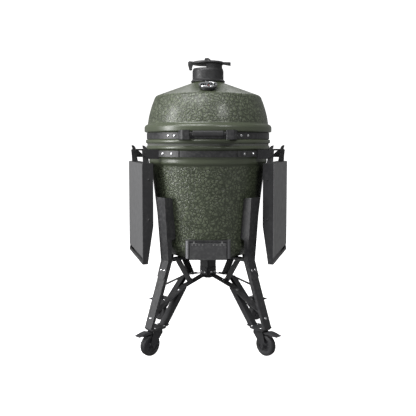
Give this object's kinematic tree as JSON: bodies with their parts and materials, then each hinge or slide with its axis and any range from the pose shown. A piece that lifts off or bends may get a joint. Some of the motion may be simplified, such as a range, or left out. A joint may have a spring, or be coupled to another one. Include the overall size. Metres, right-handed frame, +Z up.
{
  "type": "ceramic kamado charcoal grill",
  "caption": "Ceramic charcoal grill with a hinged dome lid, turning top vent and ash drawer, on a folded-steel castor stand with two fold-down side shelves.",
  "frame": {"origin": "on the bowl's vertical axis at floor level, at the bottom centre of the bounding box", "axes": "+Z up, the front with the handle and the drawer faces -Y, +X to the right seen from the front"},
  "size_m": [0.7414, 0.644, 1.237],
  "materials": {
    "glazed_ceramic": "olive green pebbled glaze",
    "raw_ceramic": "unglazed refractory",
    "black_steel": "satin black powder coat",
    "shelf_panel": "satin charcoal grey powder coat",
    "cast_iron": "seasoned black",
    "cast_black": "satin black cast aluminium",
    "steel_bolts": "bright zinc",
    "stainless": "brushed stainless",
    "chrome": "polished",
    "felt": "woven heat-proof felt",
    "handle_grip": "soft matt black",
    "dial_face": "printed scale plate without text",
    "needle": "matt red",
    "lens": "clear",
    "tyre": "hard black rubber",
    "pedal_plastic": "moulded black"
  },
  "bodies": {
    "stand": {"bowl": "glazed_ceramic", "bowl_band": "black_steel", "bowl_gasket": "felt", "fire_box": "raw_ceramic", "fire_ring": "raw_ceramic", "charcoal_grate": "cast_iron", "cooking_grid": "stainless", "drawer_housing": "black_steel", "hinge_bracket": "black_steel", "hinge_pin": "stainless", "hinge_springs": "stainless", "cradle_arms": "black_steel", "base_arms": "black_steel", "struts": "black_steel", "castor_plates": "black_steel", "cradle_ring": "black_steel", "centre_post": "black_steel", "drawer_cheeks": "stainless", "stand_bolts": "steel_bolts", "shelf_brackets_right": "black_steel", "shelf_brackets_left": "black_steel", "leg_front_right": "black_steel", "leg_rear_right": "black_steel", "leg_rear_left": "black_steel", "leg_front_left": "black_steel"},
    "lid": {"lid": "glazed_ceramic", "lid_band": "black_steel", "lid_gasket": "felt", "lid_nuts": "steel_bolts", "hinge_arm": "black_steel", "handle_bar": "handle_grip", "handle_brackets": "black_steel", "thermometer_case": "cast_black", "thermometer_dial": "dial_face", "thermometer_lens": "lens", "vent_base": "cast_black"},
    "needle": {"thermometer_needle": "needle"},
    "vent_hood": {"vent_hood": "cast_black"},
    "vent_damper": {"vent_damper": "cast_black"},
    "ash_drawer": {"ash_drawer": "stainless", "drawer_front": "black_steel"},
    "draft_slider": {"draft_slider": "stainless"},
    "shelf_right": {"shelf_frame_right": "black_steel", "shelf_panel_right": "shelf_panel", "shelf_claws_right": "black_steel"},
    "shelf_left": {"shelf_frame_left": "black_steel", "shelf_panel_left": "shelf_panel", "shelf_claws_left": "black_steel"},
    "fork_front_right": {"fork_front_right": "black_steel"},
    "wheel_front_right": {"wheel_front_right": "tyre"},
    "pedal_front_right": {"pedal_front_right": "pedal_plastic"},
    "fork_rear_right": {"fork_rear_right": "black_steel"},
    "wheel_rear_right": {"wheel_rear_right": "tyre"},
    "pedal_rear_right": {"pedal_rear_right": "pedal_plastic"},
    "fork_rear_left": {"fork_rear_left": "black_steel"},
    "wheel_rear_left": {"wheel_rear_left": "tyre"},
    "pedal_rear_left": {"pedal_rear_left": "pedal_plastic"},
    "fork_front_left": {"fork_front_left": "black_steel"},
    "wheel_front_left": {"wheel_front_left": "tyre"},
    "pedal_front_left": {"pedal_front_left": "pedal_plastic"}
  },
  "joints": [
    {"name": "lid_hinge", "type": "hinge", "parent": "stand", "child": "lid", "pos_m": [0, 0.304, 0.866], "axis": [-1, 0, 0], "range_deg": [0, 75]},
    {"name": "needle_turn", "type": "hinge", "parent": "lid", "child": "needle", "pos_m": [0, -0.18449, 1.10036], "axis": [0, 0.3453, -0.9385], "range_deg": [0, 260]},
    {"name": "hood_turn", "type": "hinge", "parent": "lid", "child": "vent_hood", "pos_m": [0, 0, 1.186], "axis": [0, 0, 1], "continuous": true},
    {"name": "damper_turn", "type": "hinge", "parent": "vent_hood", "child": "vent_damper", "pos_m": [0, 0, 1.21], "axis": [0, 0, 1], "range_deg": [0, 45]},
    {"name": "drawer_slide", "type": "slide", "parent": "stand", "child": "ash_drawer", "axis": [0, -1, 0], "range_m": [0, 0.22]},
    {"name": "draft_slide", "type": "slide", "parent": "ash_drawer", "child": "draft_slider", "axis": [1, 0, 0], "range_m": [0, 0.007]},
    {"name": "shelf_right_fold", "type": "hinge", "parent": "stand", "child": "shelf_right", "pos_m": [0.28722, -0.08453, 0.829], "axis": [-0.2823, -0.9593, 0], "range_deg": [0, 90]},
    {"name": "shelf_left_fold", "type": "hinge", "parent": "stand", "child": "shelf_left", "pos_m": [-0.28722, -0.08453, 0.829], "axis": [-0.2823, 0.9593, 0], "range_deg": [0, 90]},
    {"name": "castor_front_right_swivel", "type": "hinge", "parent": "stand", "child": "fork_front_right", "pos_m": [0.21567, -0.21567, 0.1], "axis": [0, 0, 1], "continuous": true},
    {"name": "wheel_front_right_spin", "type": "hinge", "parent": "fork_front_right", "child": "wheel_front_right", "pos_m": [0.23688, -0.23688, 0.044], "axis": [0.7071, 0.7071, 0], "continuous": true},
    {"name": "brake_front_right_press", "type": "hinge", "parent": "fork_front_right", "child": "pedal_front_right", "pos_m": [0.22769, -0.22769, 0.0925], "axis": [0.7071, 0.7071, 0], "range_deg": [0, 6]},
    {"name": "castor_rear_right_swivel", "type": "hinge", "parent": "stand", "child": "fork_rear_right", "pos_m": [0.21567, 0.21567, 0.1], "axis": [0, 0, 1], "continuous": true},
    {"name": "wheel_rear_right_spin", "type": "hinge", "parent": "fork_rear_right", "child": "wheel_rear_right", "pos_m": [0.23688, 0.23688, 0.044], "axis": [-0.7071, 0.7071, 0], "continuous": true},
    {"name": "brake_rear_right_press", "type": "hinge", "parent": "fork_rear_right", "child": "pedal_rear_right", "pos_m": [0.22769, 0.22769, 0.0925], "axis": [-0.7071, 0.7071, 0], "range_deg": [0, 6]},
    {"name": "castor_rear_left_swivel", "type": "hinge", "parent": "stand", "child": "fork_rear_left", "pos_m": [-0.21567, 0.21567, 0.1], "axis": [0, 0, 1], "continuous": true},
    {"name": "wheel_rear_left_spin", "type": "hinge", "parent": "fork_rear_left", "child": "wheel_rear_left", "pos_m": [-0.23688, 0.23688, 0.044], "axis": [-0.7071, -0.7071, 0], "continuous": true},
    {"name": "brake_rear_left_press", "type": "hinge", "parent": "fork_rear_left", "child": "pedal_rear_left", "pos_m": [-0.22769, 0.22769, 0.0925], "axis": [-0.7071, -0.7071, 0], "range_deg": [0, 6]},
    {"name": "castor_front_left_swivel", "type": "hinge", "parent": "stand", "child": "fork_front_left", "pos_m": [-0.21567, -0.21567, 0.1], "axis": [0, 0, 1], "continuous": true},
    {"name": "wheel_front_left_spin", "type": "hinge", "parent": "fork_front_left", "child": "wheel_front_left", "pos_m": [-0.23688, -0.23688, 0.044], "axis": [0.7071, -0.7071, 0], "continuous": true},
    {"name": "brake_front_left_press", "type": "hinge", "parent": "fork_front_left", "child": "pedal_front_left", "pos_m": [-0.22769, -0.22769, 0.0925], "axis": [0.7071, -0.7071, 0], "range_deg": [0, 6]}
  ]
}
